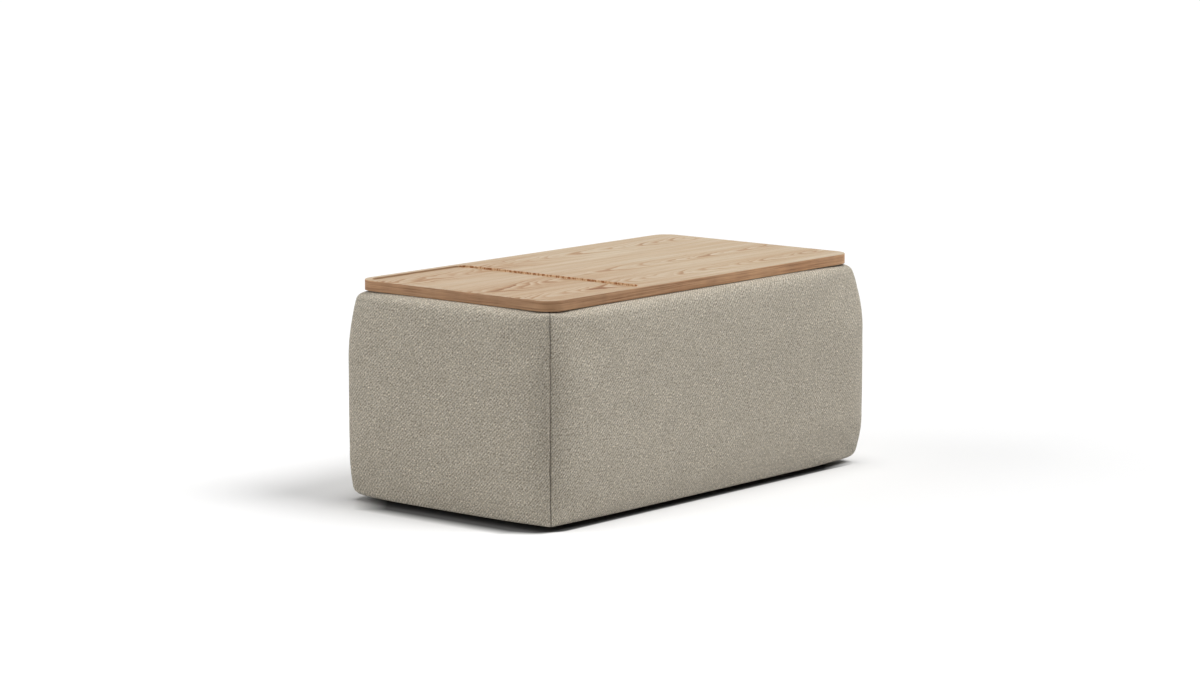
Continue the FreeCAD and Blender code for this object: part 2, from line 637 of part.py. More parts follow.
def stay_slider():
    """A round slider: its head in the groove, its neck through the slot and riveted through the arm."""
    rivet_end = on_rail(ARM_INNER_FACE - SLIDER_RIVET_LENGTH, SLIDER_FAR)
    rivet_seat = on_rail(ARM_INNER_FACE, SLIDER_FAR)
    head_start = on_rail(RAIL_LIP + SLIDER_CLEARANCE, SLIDER_FAR)
    head_end = on_rail(RAIL_SEAT - SLIDER_CLEARANCE, SLIDER_FAR)
    neck = rod(SLIDER_NECK_RADIUS, rivet_end, head_end)
    head = rod(SLIDER_HEAD_RADIUS, head_start, head_end)
    rivet = rod(SLIDER_RIVET_RADIUS, rivet_end, rivet_seat)
    return neck.fuse([head, rivet]).removeSplitter()


def stay_arm():
    """A flat arm with round ends, from the lid's pivot to the slider."""
    pivot = Vector(ARM_INNER_FACE, PIVOT_Y, PIVOT_Z)
    slider = on_rail(ARM_INNER_FACE, SLIDER_FAR)
    across = Vector(STAY_ARM_THICKNESS, 0, 0)
    half_width = (slider - pivot).cross(Vector(1, 0, 0)).normalize() * (STAY_ARM_WIDTH / 2)
    arm = slab([pivot - half_width, slider - half_width, slider + half_width, pivot + half_width], across)
    ends = [rod(STAY_ARM_WIDTH / 2, point, point + across) for point in (pivot, slider)]
    pivot_hole = rod(STAY_PIN_RADIUS + RUNNING_CLEARANCE, pivot - across, pivot + across * 2)
    slider_hole = rod(SLIDER_NECK_RADIUS + RUNNING_CLEARANCE, slider - across, slider + across * 2)
    return arm.fuse(ends).removeSplitter().cut([pivot_hole, slider_hole])


def stay_bracket():
    """An angle bracket under the lid, with a round-ended ear for the arm's pivot."""
    ear_radius = STAY_ARM_WIDTH / 2
    flange_reach = (PIVOT_Y - BRACKET_LENGTH / 2, PIVOT_Y + BRACKET_LENGTH / 2)
    flange_low = LID_UNDERSIDE - BRACKET_THICKNESS
    flange = box(EAR_OUTER_FACE - BRACKET_FLANGE, EAR_OUTER_FACE, *flange_reach, flange_low, LID_UNDERSIDE)
    ear_reach = (PIVOT_Y - ear_radius, PIVOT_Y + ear_radius)
    ear = box(EAR_INNER_FACE, EAR_OUTER_FACE, *ear_reach, PIVOT_Z, LID_UNDERSIDE)
    inner = Vector(EAR_INNER_FACE, PIVOT_Y, PIVOT_Z)
    outer = Vector(EAR_OUTER_FACE, PIVOT_Y, PIVOT_Z)
    across = outer - inner
    bracket = flange.fuse([ear, rod(ear_radius, inner, outer)]).removeSplitter()
    return bracket.cut(rod(STAY_PIN_RADIUS + RUNNING_CLEARANCE, inner - across, outer + across))


def stay_pin():
    """A headed rivet that joins the arm to its bracket."""
    head = Vector(STAY_PIN_HEAD_LENGTH, 0, 0)
    inner_seat = Vector(EAR_INNER_FACE, PIVOT_Y, PIVOT_Z)
    outer_seat = Vector(ARM_OUTER_FACE + RUNNING_CLEARANCE, PIVOT_Y, PIVOT_Z)
    shaft = rod(STAY_PIN_RADIUS, inner_seat - head, outer_seat + head)
    inner_head = rod(STAY_PIN_HEAD_RADIUS, inner_seat - head, inner_seat)
    outer_head = rod(STAY_PIN_HEAD_RADIUS, outer_seat, outer_seat + head)
    return shaft.fuse([inner_head, outer_head]).removeSplitter()


def make_stays():
    makers = {
        "stay_rail_": stay_rail,
        "stay_slider_": stay_slider,
        "stay_arm_": stay_arm,
        "stay_bracket_": stay_bracket,
        "stay_pin_": stay_pin,
    }
    for prefix, maker in makers.items():
        shape = maker()
        for side in SIDE_SIGNS:
            nodes[prefix + side] = at_side(shape, side)
    rail_places = []
    bracket_places = []
    rail_middle = (SLIDER_NEAR + SLIDER_FAR) / 2
    rail_screw_reach = (SLIDER_FAR - SLIDER_NEAR) / 2 - RAIL_SCREW_INSET
    flange_middle = (EAR_INNER_FACE + EAR_OUTER_FACE - BRACKET_FLANGE) / 2
    flange_low = LID_UNDERSIDE - BRACKET_THICKNESS
    for sign in SIDE_SIGNS.values():
        for offset in spaced(rail_screw_reach, 3):
            rail_places.append((on_rail(sign * RAIL_SEAT, rail_middle + offset), Vector(sign, 0, 0)))
        for y in spaced(BRACKET_LENGTH / 2 - BRACKET_SCREW_INSET, 2):
            bracket_places.append((Vector(sign * flange_middle, PIVOT_Y + y, flange_low), UP))
    rail_screw_length = RAIL_WEB + LINING_THICKNESS + PANEL_FACE_BITE
    nodes["stay_rail_screws"], holes = screws(SMALL_SCREW, rail_screw_length, rail_places)
    for side in SIDE_SIGNS:
        drill(["stay_rail_" + side, side + "_lining", side + "_end_panel", side + "_cover"], holes)
    bracket_screw_length = BRACKET_THICKNESS + LID_BITE
    nodes["stay_bracket_screws"], holes = screws(MEDIUM_SCREW, bracket_screw_length, bracket_places)
    drill(["stay_bracket_left", "stay_bracket_right", "lid_board"], holes)


make_carcass()
make_lining()
make_upholstery()
make_base()
make_lid()
make_battens()
make_bumpers()
make_hinges()
make_stays()

os.makedirs("parts", exist_ok=True)
for node_name, node_shape in nodes.items():
    node_shape.exportStep("parts/" + node_name + ".step")
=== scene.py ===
import math

import bpy
import numpy as np
from mathutils import Matrix, Vector


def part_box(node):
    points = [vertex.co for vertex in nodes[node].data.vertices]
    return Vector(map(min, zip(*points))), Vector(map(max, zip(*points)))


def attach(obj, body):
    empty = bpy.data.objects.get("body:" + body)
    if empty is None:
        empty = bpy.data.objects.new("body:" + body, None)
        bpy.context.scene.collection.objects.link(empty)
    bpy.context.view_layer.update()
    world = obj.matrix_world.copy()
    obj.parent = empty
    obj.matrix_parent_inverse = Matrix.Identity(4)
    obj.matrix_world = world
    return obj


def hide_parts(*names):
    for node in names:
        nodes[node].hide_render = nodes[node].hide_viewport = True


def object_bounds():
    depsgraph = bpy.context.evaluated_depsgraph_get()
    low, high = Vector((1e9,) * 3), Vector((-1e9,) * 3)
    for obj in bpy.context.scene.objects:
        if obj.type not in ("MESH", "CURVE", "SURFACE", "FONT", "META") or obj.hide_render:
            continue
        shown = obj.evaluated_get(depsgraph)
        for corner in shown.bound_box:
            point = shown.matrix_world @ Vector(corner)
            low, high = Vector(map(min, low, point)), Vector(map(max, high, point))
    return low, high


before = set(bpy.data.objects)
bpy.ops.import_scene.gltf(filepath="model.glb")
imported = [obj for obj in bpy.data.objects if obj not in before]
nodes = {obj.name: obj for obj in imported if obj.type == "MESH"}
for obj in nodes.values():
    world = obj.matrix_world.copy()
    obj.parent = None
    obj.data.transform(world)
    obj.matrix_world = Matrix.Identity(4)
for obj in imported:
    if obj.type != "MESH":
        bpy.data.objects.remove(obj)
cad_low, cad_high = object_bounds()
scene = bpy.context.scene
scene.view_settings.view_transform = "Standard"


def rgb(red, green, blue):
    """A colour as the shader takes it, from 0 to 255 display values."""
    def linear(value):
        value /= 255
        return value / 12.92 if value <= 0.04045 else ((value + 0.055) / 1.055) ** 2.4
    return (linear(red), linear(green), linear(blue), 1.0)


# Lengths are in metres, in the part's own frame: +X along the ottoman, -Y to the front, +Z up.
X_AXIS, Y_AXIS, Z_AXIS = range(3)

# Upholstery. Its places come from the frame, and its forms from the sizes below.
# Top edge: the roll's radius and its crest's place at the seams, and what is added to them mid-length.
TOP_ROLL = 0.017
TOP_ROLL_SWELL = 0.001
TOP_CREST = 0.0025
TOP_CREST_SHIFT = 0.0145
TOP_CREST_RISE = 0.0022
REAR_ROLL_SWELL = 0.006
REAR_CREST_SHIFT = 0.007
TOP_EASE = 0.127
# Bottom edge, in the same way
BOTTOM_ROLL = 0.018
BOTTOM_ROLL_SWELL = -0.011
BOTTOM_CREST = 0.0075
BOTTOM_CREST_SHIFT = 0.0165
BOTTOM_DROP = 0.0025
BOTTOM_EASE = 0.088
# Crowns, and the shoulders and fullness beside the seams
FRONT_CROWN_POWER = 6
END_CROWN_POWER = 4
SHOULDER_RISE = 0.0070
SHOULDER_START = 0.014
FRONT_RIGHT_FULLNESS = 0.0040
REAR_LEFT_FULLNESS = 0.0004
# The front left seam lies deeper, and its edges follow it.
NEAR_RECESS = 0.014
RECESS_REACH = 0.032
RECESS_CREST = 0.5
RECESS_ROLL = 0.8
# All seams are drawn in and wander, in waves of (size, length).
SEAM_DRAW = 0.0024
SEAM_DRAW_REACH = 0.0024
SEAM_WAVES = ((0.00045, 0.061), (0.0003, 0.027))
SEAM_WAVE_REACH = 0.007
# Hems, and the cover's bed under the hinges
INNER_HEM = 0.022
UNDER_HEM = 0.030
HEM_BEND = 0.0012
EASE_POWER = 3
BACK_GAP = 0.0003
HINGE_PRESS_TOP = 0.0003
HINGE_PRESS_SIDE = 0.004
HINGE_PRESS_FADE = 0.012
# Mesh
CELL = 0.008
SEAM_COLUMNS = (0.0, 0.0008, 0.0018, 0.0032, 0.0052, 0.0080, 0.0115)
HEM_ROWS = 5
OVER_ROWS = 9
TIGHT_ROWS = 8
WIDE_ROWS = 14
UPRIGHT_ROWS = 14
UNDER_ROWS = 9
# Simulation
START_SHRINK = 0.0012
PUFF_PRESSURE = 0.6
PUFF_LIMIT = 0.002
PUFF_FRAMES = 20

# Dust cover
DUST_CELL = 0.008
DUST_SAG = 0.0015
DUST_THICKNESS = 0.0004
DUST_PUCKER = 0.00015
DUST_PUCKER_PITCH = 0.038
DUST_PUCKER_REACH = 0.030

# Ranges of a noise's values, from the usual ones to nearly all
NARROW_RANGE = (0.3, 0.7)
MIDDLE_RANGE = (0.25, 0.75)
WIDE_RANGE = (0.2, 0.8)
FULL_RANGE = (0.0, 1.0)

# Twill. Flecks are counted per yarn, and drift in yarns.
YARN_PITCH = 0.00169
TWILL_REPEAT = 4.0
YARN_DRIFT = 3.0
FLECK_ACROSS = 3.7
FLECK_ALONG = 0.35
WEFT_LAYER = 9.0
LIGHT_YARN = ((0.0, rgb(156, 146, 127)), (0.5, rgb(207, 198, 181)), (1.0, rgb(238, 232, 221)))
DARK_YARN = ((0.0, rgb(130, 119, 101)), (0.5, rgb(185, 175, 157)), (1.0, rgb(222, 214, 199)))
FABRIC_SHEEN = rgb(245, 242, 236)
# Painted shade in the corner seams' creases: how far from the seam it reaches, and how dark it is at the
# seam
SEAM_SHADE_REACH = (0.0006, 0.0026)
SEAM_SHADE = 0.5

# Oak, cut through three leaves side by side, each given by its middle line, its pith's height and the
# pith's fall towards +X
REAR_LEAF = (0.145, 0.462, 0.075)
MIDDLE_LEAF = (-0.043, 0.450, 0.066)
FRONT_LEAF = (-0.165, 0.456, 0.085)
REAR_LEAF_FROM = 0.052
FRONT_LEAF_FROM = -0.104
RING_PITCH = 0.0036
RING_WANDER = 0.045
RING_RIPPLE = 0.008
RING_UNEVENNESS = 5.0
RING_STRENGTH = (0.15, 1.1)
RING_COLOURS = ((0.0, rgb(196, 181, 158)), (0.4, rgb(171, 141, 109)), (1.0, rgb(126, 84, 50)))
EARLY_WOOD_RISE = 0.18
EARLY_WOOD_POWER = 1.6
BAND_PER_RING = 0.14
BAND_ALONG = 1.2
BAND_RANGE = (0.36, 0.64)
BAND_LEAST = 0.2
CROWN_REACH = (0.010, 0.045)
CROWN_STRENGTH = (1.6, 0.6)
STREAK_RANGE = (0.40, 0.64)
STREAK_SHARE = 0.7
STREAK_COLOUR = rgb(172, 143, 110)
TRAY_END_FADE = (-0.2, 0.1)
TRAY_END_TINT = (0.95, 0.9, 0.87, 1.0)
PORE_RANGE = (0.54, 0.66)
PORES_IN_LINES = 0.7
PORES_BETWEEN = 0.3
PORE_SHARE = 0.45
PORE_DEPTH = 0.8
PORE_COLOUR = rgb(128, 90, 58)
# The lid's edges, the tray's walls and the end grain on the tray's step. The upright faces' darker brown is
# partly their grain and partly painted shade, and the edges' lightening towards the right end and the rear
# is painted light
LID_ROUND = 0.034
EDGE_DEPTH = 0.003
EDGE_RANGE = (0.3, 0.72)
EDGE_COLOURS = ((0.0, rgb(204, 164, 126)), (0.5, rgb(180, 138, 103)), (1.0, rgb(128, 88, 58)))
EDGE_PAINTED_LIGHT_SPAN = (-0.5, 0.3)
UPRIGHT_FACING = (0.35, 0.8)
WALL_SHARE = 0.6
WALL_COLOUR = rgb(150, 108, 72)
TRAY_STEP = -0.167
STEP_REACH = 0.024
END_FACING = (0.3, 0.6)
HASH_RANGE = (0.42, 0.56)
HASH_DARK = rgb(165, 108, 66)
HASH_LIGHT = rgb(226, 192, 152)

# Finishes of the other pieces
BATTEN_LIGHT, BATTEN_DARK = rgb(206, 170, 126), rgb(178, 136, 92)
PLYWOOD_LIGHT, PLYWOOD_DARK = rgb(214, 182, 138), rgb(190, 152, 106)
LINING_COLOUR = rgb(122, 117, 108)
DUST_COLOUR = rgb(32, 32, 33)
ZINC_COLOUR = rgb(180, 180, 176)
STAY_COLOUR = rgb(176, 176, 173)
SCREW_COLOUR = rgb(168, 168, 164)
RAIL_COLOUR = rgb(196, 197, 199)
NYLON_COLOUR = rgb(42, 42, 43)
GLIDE_COLOUR = rgb(30, 30, 31)
BUMPER_COLOUR = rgb(146, 142, 136)

# Camera, fitted to the edges of the lid in a picture of this width
IMAGE_WIDTH = 1200
FOCAL_PIXELS = 3790.6
SENSOR_WIDTH = 36.0
CAMERA_PLACE = Vector((-5.2202, -4.3729, 1.2960))
CAMERA_HEADING = math.radians(40.12)
CAMERA_PITCH = math.radians(8.77)
CAMERA_REACH = 200

# Stage: the floor, and a painted shadow on it: a dark band under the object, which reaches further out along
# the left end and fades out towards two opposite corners
FLOOR_SIZE = 80.0
FLOOR_WHITE = 0.92
FLOOR_BOUNCE = 0.53
FLOOR_LIFT = 0.02
FLOOR_PAINTED_SHADOW = 0.1
FOOT_INSET = 0.005
FOOT_ROUND = 0.045
FOOT_FADE = 0.007
FOOT_LEFT = 0.025
FOOT_LEFT_FADE = (0.018, 0.058)
FOOT_NEAR = 0.08
FOOT_SLANT = math.radians(40)
FOOT_ENDS = (0.395, 0.455)
WORLD_LIGHT = 0.03
# Name, azimuth and elevation in degrees, strength, and angular size in degrees
LAMPS = (
    ("key", -65, 55, 1.86, 28),
    ("key_low", -15, 12, 0.75, 50),
    ("top", 0, 90, 1.26, 30),
    ("fill", 140, 15, 1.7, 60),
)


# Shader graphs
class Graph:
    """A material's node tree, built from the shader back to its patterns."""

    def __init__(self, name):
        self.material = bpy.data.materials.new(name)
        self.material.use_nodes = True
        self.tree = self.material.node_tree
        self.tree.nodes.clear()
        self.shader = self.add("ShaderNodeBsdfPrincipled")
        self.output = self.add("ShaderNodeOutputMaterial")
        self.tree.links.new(self.shader.outputs["BSDF"], self.output.inputs["Surface"])

    def add(self, kind, **settings):
        """A node with some of its settings changed."""
        node = self.tree.nodes.new(kind)
        for name, value in settings.items():
            setattr(node, name, value)
        return node

    def feed(self, socket, value):
        """Link a socket to another one, or set its value."""
        if isinstance(value, bpy.types.NodeSocket):
            self.tree.links.new(value, socket)
        else:
            socket.default_value = value

    def math(self, operation, *values):
        """One arithmetic step."""
        node = self.add("ShaderNodeMath", operation=operation)
        for socket, value in zip(node.inputs, values):
            self.feed(socket, value)
        return node.outputs["Value"]

    def hypotenuse(self, first, second):
        """The length of two values at right angles."""
        squares = [self.math("MULTIPLY", value, value) for value in (first, second)]
        return self.math("SQRT", self.math("ADD", *squares))

    def parts(self, vector):
        """The X, Y and Z of a vector."""
        node = self.add("ShaderNodeSeparateXYZ")
        self.feed(node.inputs["Vector"], vector)
        return node.outputs["X"], node.outputs["Y"], node.outputs["Z"]

    def vector(self, x=0.0, y=0.0, z=0.0):
        """A vector from three values."""
        node = self.add("ShaderNodeCombineXYZ")
        for socket, value in zip(node.inputs, (x, y, z)):
            self.feed(socket, value)
        return node.outputs["Vector"]

    def scaled(self, vector, factors):
        """A vector with each component multiplied."""
        node = self.add("ShaderNodeVectorMath", operation="MULTIPLY")
        self.feed(node.inputs[0], vector)
        node.inputs[1].default_value = factors
        return node.outputs["Vector"]

    def noise(self, vector, scale, detail=2.0, roughness=0.5):
        """Smooth noise about 0.5."""
        node = self.add("ShaderNodeTexNoise")
        self.feed(node.inputs["Vector"], vector)
        node.inputs["Scale"].default_value = scale
        node.inputs["Detail"].default_value = detail
        node.inputs["Roughness"].default_value = roughness
        return node.outputs["Fac"]

    def grain(self, vector, across, along, axis, detail=2.0, roughness=0.5):
        """Smooth noise with another scale along one axis than across it."""
        scales = [across] * 3
        scales[axis] = along
        return self.noise(self.scaled(vector, scales), 1.0, detail, roughness)

    def offset(self, noise, size):
        """A shift to either side of 0, from a noise about 0.5."""
        return self.math("MULTIPLY", self.math("SUBTRACT", noise, 0.5), size)

    def random(self, value):
        """A random number from 0 to 1 for each value."""
        node = self.add("ShaderNodeTexWhiteNoise", noise_dimensions="1D")
        self.feed(node.inputs["W"], value)
        return node.outputs["Value"]

    def span(self, value, low, high, to_low=0.0, to_high=1.0):
        """A value from one range, clamped and moved to another."""
        node = self.add("ShaderNodeMapRange")
        self.feed(node.inputs["Value"], value)
        limits = {"From Min": low, "From Max": high, "To Min": to_low, "To Max": to_high}
        for name, limit in limits.items():
            self.feed(node.inputs[name], limit)
        return node.outputs["Result"]

    def mix(self, factor, first, second, blend="MIX"):
        """Two colours mixed, or blended in another way."""
        node = self.add("ShaderNodeMix", data_type="RGBA", blend_type=blend)
        self.feed(node.inputs["Factor"], factor)
        self.feed(node.inputs[6], first)
        self.feed(node.inputs[7], second)
        return node.outputs[2]

    def choose(self, factor, first, second):
        """Two numbers mixed."""
        node = self.add("ShaderNodeMix", data_type="FLOAT")
        self.feed(node.inputs[0], factor)
        self.feed(node.inputs[2], first)
        self.feed(node.inputs[3], second)
        return node.outputs[0]

    def shade(self, colour, pattern, limits, dark, light):
        """A colour multiplied by a factor that goes from dark to light between a pattern's limits."""
        factor = self.span(pattern, *limits, dark, light)
        return self.mix(1.0, colour, self.vector(factor, factor, factor), "MULTIPLY")

    def ramp(self, value, stops):
        """A colour from a row of (place, colour) stops."""
        node = self.add("ShaderNodeValToRGB")
        self.feed(node.inputs["Fac"], value)
        elements = node.color_ramp.elements
        while len(elements) < len(stops):
            elements.new(0.5)
        for element, (place, colour) in zip(elements, stops):
            element.position = place
            element.color = colour
        return node.outputs["Color"]

    def place(self):
        """Object coordinates, which are the part's own frame."""
        return self.add("ShaderNodeTexCoord").outputs["Object"]

    def outside(self, place, half_x, half_y):
        """Distance in plan from a rectangle about the origin, 0 inside it."""
        x, y, _ = self.parts(place)
        beyond = [
            self.math("MAXIMUM", self.math("SUBTRACT", self.math("ABSOLUTE", value), half), 0.0)
            for value, half in ((x, half_x), (y, half_y))
        ]
        return self.hypotenuse(*beyond)

    def bump(self, height, distance, strength):
        """A surface normal from a height pattern."""
        node = self.add("ShaderNodeBump")
        node.inputs["Strength"].default_value = strength
        node.inputs["Distance"].default_value = distance
        self.feed(node.inputs["Height"], height)
        return node.outputs["Normal"]

    def finish(self, **sockets):
        """Set or link the shader's own sockets, by their names with _ for a space."""
        for name, value in sockets.items():
            self.feed(self.shader.inputs[name.replace("_", " ")], value)
        return self.material


def upholstery_material():
    """A coarse twill of two tones of heathered yarn, two over and two under, with painted shade in the
    weave's hollows and in the seams' creases.
    """
    g = Graph("upholstery_twill")
    uv = g.add("ShaderNodeUVMap", uv_map="weave").outputs["UV"]
    drift = g.offset(g.noise(uv, scale=14.0, detail=3.0), YARN_DRIFT)
    across, along, _ = g.parts(g.scaled(uv, (1 / YARN_PITCH, 1 / YARN_PITCH, 1.0)))
    across = g.math("ADD", across, drift)
    warp = g.math("FLOOR", across)
    weft = g.math("FLOOR", along)
    step = g.math("FLOORED_MODULO", g.math("SUBTRACT", warp, weft), TWILL_REPEAT)
    warp_up = g.math("LESS_THAN", step, TWILL_REPEAT / 2 - 0.5)

    def round_yarn(value):
        """A yarn's height across its width."""
        middle = g.math("MULTIPLY_ADD", g.math("FRACT", value), 2.0, -1.0)
        return g.math("SUBTRACT", 1.0, g.math("MULTIPLY", middle, middle))

    def crown_of(distance):
        """A yarn's height along its run over two yarns and under two."""
        centred = g.math("SUBTRACT", g.math("FLOORED_MODULO", distance, TWILL_REPEAT), 1.0)
        rise = g.math("COSINE", g.math("MULTIPLY", centred, 2 * math.pi / TWILL_REPEAT))
        return g.math("MULTIPLY_ADD", rise, 0.5, 0.5)

    def fleck(*place):
        """The yarn's own mixture of tones."""
        return g.span(g.noise(g.vector(*place), scale=1.0, roughness=0.7), *MIDDLE_RANGE)

    warp_run = crown_of(g.math("ADD", g.math("SUBTRACT", along, warp), 1.0))
    weft_run = crown_of(g.math("SUBTRACT", g.math("SUBTRACT", across, weft), 2.0))
    warp_height = g.math("MULTIPLY", round_yarn(across), warp_run)
    weft_height = g.math("MULTIPLY", round_yarn(along), weft_run)
    height = g.choose(warp_up, weft_height, warp_height)
    warp_fleck = fleck(g.math("MULTIPLY", warp, FLECK_ACROSS), g.math("MULTIPLY", along, FLECK_ALONG))
    weft_fleck = fleck(
        g.math("MULTIPLY", across, FLECK_ALONG), g.math("MULTIPLY", weft, FLECK_ACROSS), WEFT_LAYER
    )
    colour = g.mix(warp_up, g.ramp(weft_fleck, DARK_YARN), g.ramp(warp_fleck, LIGHT_YARN))
    # Painted shade in the weave's hollows: the yarns darker where they dip
    colour = g.shade(colour, height, (0.0, 0.8), dark=0.76, light=1.06)
    colour = g.shade(colour, g.noise(uv, scale=310.0), MIDDLE_RANGE, dark=0.55, light=1.45)
    colour = g.shade(colour, g.noise(uv, scale=22.0, detail=4.0), NARROW_RANGE, dark=0.96, light=1.04)
    # Painted shade in the seams' creases, by distance from the nearest seam
    from_seam, _, _ = g.parts(g.add("ShaderNodeUVMap", uv_map="seam").outputs["UV"])
    colour = g.shade(colour, from_seam, SEAM_SHADE_REACH, dark=SEAM_SHADE, light=1.0)
    return g.finish(
        Base_Color=colour, Roughness=g.span(height, *FULL_RANGE, to_low=0.98, to_high=0.86),
        Specular_IOR_Level=0.2, Sheen_Weight=0.28, Sheen_Roughness=0.45, Sheen_Tint=FABRIC_SHEEN,
        Normal=g.bump(height, distance=0.0006, strength=0.7),
    )


def oak_material():
    """Crown-cut oak along X: rings in arches that point to the tray's end, and plain brown edges, whose
    darkness is partly painted shade and which are lighter towards the right end and the rear as painted
    light.
    """
    g = Graph("oak")
    place = g.place()
    x, y, z = g.parts(place)
    wander = g.grain(place, across=7.0, along=2.2, axis=X_AXIS)
    ripple = g.grain(place, across=55.0, along=22.0, axis=X_AXIS)
    y = g.math("ADD", y, g.offset(wander, RING_WANDER))
    y = g.math("ADD", y, g.offset(ripple, RING_RIPPLE))

    def leaf(middle, heart, slope):
        """Distance from one leaf's pith, which comes nearer towards +X, and from its middle line."""
        aside = g.math("SUBTRACT", y, middle)
        below = g.math("SUBTRACT", g.math("MULTIPLY_ADD", x, -slope, heart), z)
        return g.hypotenuse(aside, below), g.math("ABSOLUTE", aside)

    is_rear = g.math("GREATER_THAN", y, REAR_LEAF_FROM)
    is_front = g.math("LESS_THAN", y, FRONT_LEAF_FROM)
    distance, aside = (
        g.choose(is_front, g.choose(is_rear, in_middle, in_rear), in_front)
        for in_rear, in_middle, in_front in zip(leaf(*REAR_LEAF), leaf(*MIDDLE_LEAF), leaf(*FRONT_LEAF))
    )
    uneven = g.grain(place, across=12.0, along=7.0, axis=X_AXIS, detail=3.0)
    ring = g.math("MULTIPLY_ADD", uneven, RING_UNEVENNESS, g.math("MULTIPLY", distance, 1 / RING_PITCH))
    phase = g.math("FRACT", ring)
    fall = g.math("POWER", g.math("SUBTRACT", 1.0, phase), EARLY_WOOD_POWER)
    early = g.math("MULTIPLY", fall, g.span(phase, 0.0, EARLY_WOOD_RISE))
    strength = g.span(g.random(g.math("FLOOR", ring)), *FULL_RANGE, *RING_STRENGTH)
    band_place = g.vector(g.math("MULTIPLY", ring, BAND_PER_RING), g.math("MULTIPLY", x, BAND_ALONG))
    band = g.span(g.noise(band_place, scale=1.0), *BAND_RANGE)
    strength = g.math("MULTIPLY", strength, g.math("ADD", band, BAND_LEAST))
    crown = g.span(aside, *CROWN_REACH, *CROWN_STRENGTH)
    line = g.math("MULTIPLY", g.math("MULTIPLY", early, strength), crown)

    streak = g.grain(place, across=38.0, along=1.8, axis=X_AXIS, detail=6.0, roughness=0.68)
    pores = g.grain(place, across=1100.0, along=36.0, axis=X_AXIS, roughness=0.6)
    fibre = g.grain(place, across=330.0, along=8.0, axis=X_AXIS, detail=3.0, roughness=0.65)
    colour = g.ramp(line, RING_COLOURS)
    colour = g.mix(g.span(streak, *STREAK_RANGE, to_high=STREAK_SHARE), colour, STREAK_COLOUR)
    colour = g.mix(g.span(x, *TRAY_END_FADE, 1.0, 0.0), colour, TRAY_END_TINT, "MULTIPLY")
    colour = g.shade(colour, fibre, MIDDLE_RANGE, dark=0.9, light=1.09)
    pore_strength = g.math("MULTIPLY_ADD", line, PORES_IN_LINES, PORES_BETWEEN)
    pore_mark = g.math("MULTIPLY", g.span(pores, *PORE_RANGE), pore_strength)
    colour = g.mix(g.math("MULTIPLY", pore_mark, PORE_SHARE), colour, PORE_COLOUR)

    lid_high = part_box("lid_board")[1]
    outside = g.outside(place, lid_high.x - LID_ROUND, lid_high.y - LID_ROUND)
    outer = g.math("GREATER_THAN", outside, LID_ROUND - EDGE_DEPTH)
    end, _, rise = g.parts(g.add("ShaderNodeNewGeometry").outputs["True Normal"])
    # Upright faces take a darker brown, partly their grain's own colour and partly painted shade for faces
    # turned from the top light
    upright = g.span(g.math("ABSOLUTE", rise), *UPRIGHT_FACING, 1.0, 0.0)
    banding = g.grain(place, across=7.0, along=520.0, axis=Z_AXIS, detail=4.0, roughness=0.65)
    cloud = g.noise(place, scale=26.0, detail=3.0)
    edge_colour = g.ramp(g.span(banding, *EDGE_RANGE), EDGE_COLOURS)
    # Painted light: the edges lighter towards the right end and the rear
    edge_colour = g.shade(edge_colour, g.math("ADD", x, y), EDGE_PAINTED_LIGHT_SPAN, dark=0.9, light=1.16)
    edge_colour = g.shade(edge_colour, cloud, NARROW_RANGE, dark=0.88, light=1.12)
    colour = g.mix(g.math("MULTIPLY", upright, WALL_SHARE), colour, WALL_COLOUR)
    colour = g.mix(g.math("MULTIPLY", upright, outer), colour, edge_colour)
    hash_mark = g.grain(place, across=60.0, along=170.0, axis=Y_AXIS, roughness=0.7)
    hash_colour = g.mix(g.span(hash_mark, *HASH_RANGE), HASH_DARK, HASH_LIGHT)
    at_step = g.math("COMPARE", x, TRAY_STEP, STEP_REACH)
    cut_end = g.math("MULTIPLY", g.span(g.math("ABSOLUTE", end), *END_FACING), at_step)
    colour = g.mix(cut_end, colour, hash_colour)
    height = g.math("SUBTRACT", fibre, g.math("MULTIPLY", pore_mark, PORE_DEPTH))
    return g.finish(
        Base_Color=colour, Roughness=g.span(fibre, *WIDE_RANGE, to_low=0.55, to_high=0.7),
        Specular_IOR_Level=0.25, Normal=g.bump(height, distance=0.0002, strength=0.5),
    )


def plain_wood_material(name, light, dark, axis):
    """Raw wood with its grain along one axis."""
    g = Graph(name)
    place = g.place()
    figure = g.grain(place, across=140.0, along=5.0, axis=axis, detail=4.0, roughness=0.6)
    fibre = g.grain(place, across=900.0, along=30.0, axis=axis)
    colour = g.mix(g.span(figure, *NARROW_RANGE), light, dark)
    colour = g.shade(colour, fibre, MIDDLE_RANGE, dark=0.9, light=1.08)
    return g.finish(Base_Color=colour, Roughness=0.75, Normal=g.bump(fibre, distance=0.0003, strength=0.5))


